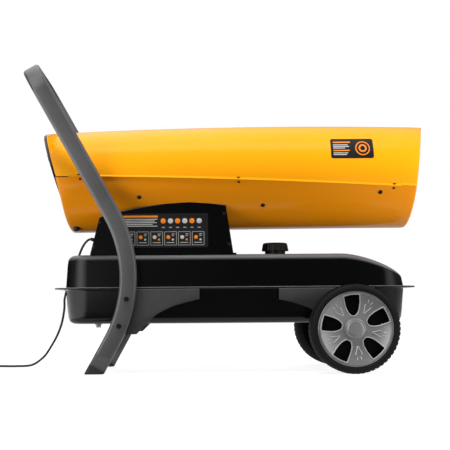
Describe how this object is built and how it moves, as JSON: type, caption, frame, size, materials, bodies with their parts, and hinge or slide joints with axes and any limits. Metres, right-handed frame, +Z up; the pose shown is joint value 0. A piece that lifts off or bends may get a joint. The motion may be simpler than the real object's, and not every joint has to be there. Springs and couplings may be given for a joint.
{
  "type": "diesel forced air heater",
  "caption": "Portable diesel forced air heater: a barrel shell over a fuel tank, with two wheels and a bent tube that is leg frame and handle in one.",
  "frame": {"origin": "on the floor under the middle of the heater, measured without the free cord, its coil, tie and plug", "axes": "+X towards the hot air outlet, +Y towards the heater's left side with the controls, +Z up"},
  "size_m": [1.4687, 0.52, 0.9071],
  "materials": {
    "yellow_enamel": "gloss enamel",
    "black_enamel": "gloss enamel",
    "grey_frame_paint": "satin paint",
    "black_plastic": "moulded, satin",
    "black_rubber": "matt",
    "tyre_rubber": "matt",
    "silver_rim_plastic": "silver paint on moulded plastic",
    "zinc_steel": "zinc plated",
    "stainless_steel": "rolled sheet, slightly heat tinted",
    "cast_aluminium": "as cast",
    "brass": "machined",
    "white_ceramic": "glazed ceramic",
    "green_board": "coated circuit board",
    "amber_lens": "clear lens"
  },
  "bodies": {
    "heater": {"air_line": "black_plastic", "air_pump_cover": "black_plastic", "air_pump_housing": "cast_aluminium", "axle": "zinc_steel", "axle_clip_left": "zinc_steel", "axle_clip_right": "zinc_steel", "base_box": "black_enamel", "base_cover_left": "black_enamel", "base_cover_right": "black_enamel", "burner_head": "stainless_steel", "chamber_support_front": "zinc_steel", "chamber_support_rear": "zinc_steel", "combustion_chamber": "stainless_steel", "control_board": "green_board", "cord": "black_rubber", "cord_coil": "black_rubber", "cord_gland": "black_plastic", "cord_tie": "black_plastic", "drain_plug": "zinc_steel", "drain_washer": "black_rubber", "filler_neck": "black_plastic", "flame_deflector": "stainless_steel", "foot_plug_left": "black_rubber", "foot_plug_right": "black_rubber", "front_bracket_left": "grey_frame_paint", "front_bracket_right": "grey_frame_paint", "fuel_filter": "brass", "fuel_line": "brass", "fuel_pickup": "brass", "handle_frame": "grey_frame_paint", "igniter": "white_ceramic", "ignition_transformer": "black_plastic", "indicator_lamp": "amber_lens", "intake_guard": "black_enamel", "lower_shell": "yellow_enamel", "motor": "cast_aluminium", "motor_mount": "zinc_steel", "nozzle_holder": "brass", "photocell": "black_plastic", "plug": "black_plastic", "rear_bracket_left": "grey_frame_paint", "rear_bracket_right": "grey_frame_paint", "switch_bezel": "black_plastic", "tank_lower_pan": "black_enamel", "tank_upper_pan": "black_enamel", "upper_shell": "yellow_enamel"},
    "left_wheel": {"wheel_rim_left": "silver_rim_plastic", "tyre_left": "tyre_rubber", "hub_cap_left": "silver_rim_plastic"},
    "right_wheel": {"wheel_rim_right": "silver_rim_plastic", "tyre_right": "tyre_rubber", "hub_cap_right": "silver_rim_plastic"},
    "spindle": {"fan": "cast_aluminium", "motor_shaft": "zinc_steel", "pump_rotor": "zinc_steel"},
    "cap_seal": {"fuel_cap_gasket": "black_rubber"},
    "cap": {"fuel_cap": "black_plastic"},
    "knob": {"thermostat_knob": "black_plastic"},
    "rocker": {"power_switch": "black_plastic"}
  },
  "joints": [
    {"name": "left_wheel_spin", "type": "hinge", "parent": "heater", "child": "left_wheel", "pos_m": [0.35445, 0.2225, 0.127], "axis": [0, 1, 0], "continuous": true},
    {"name": "right_wheel_spin", "type": "hinge", "parent": "heater", "child": "right_wheel", "pos_m": [0.35445, -0.2225, 0.127], "axis": [0, 1, 0], "continuous": true},
    {"name": "fan_spin", "type": "hinge", "parent": "heater", "child": "spindle", "pos_m": [-0.18, 0, 0.578], "axis": [1, 0, 0], "continuous": true},
    {"name": "fuel_cap_lift", "type": "slide", "parent": "heater", "child": "cap_seal", "axis": [0, 0, 1], "range_m": [0, 0.035]},
    {"name": "fuel_cap_turn", "type": "hinge", "parent": "cap_seal", "child": "cap", "pos_m": [0.14845, 0, 0.372], "axis": [0, 0, 1], "range_deg": [0, 360]},
    {"name": "thermostat_knob_turn", "type": "hinge", "parent": "heater", "child": "knob", "pos_m": [-0.08615, 0.13, 0.422], "axis": [0, -1, 0], "range_deg": [0, 270]},
    {"name": "power_switch_rock", "type": "hinge", "parent": "heater", "child": "rocker", "pos_m": [-0.16615, 0.13014, 0.422], "axis": [1, 0, 0], "range_deg": [0, 20]}
  ]
}
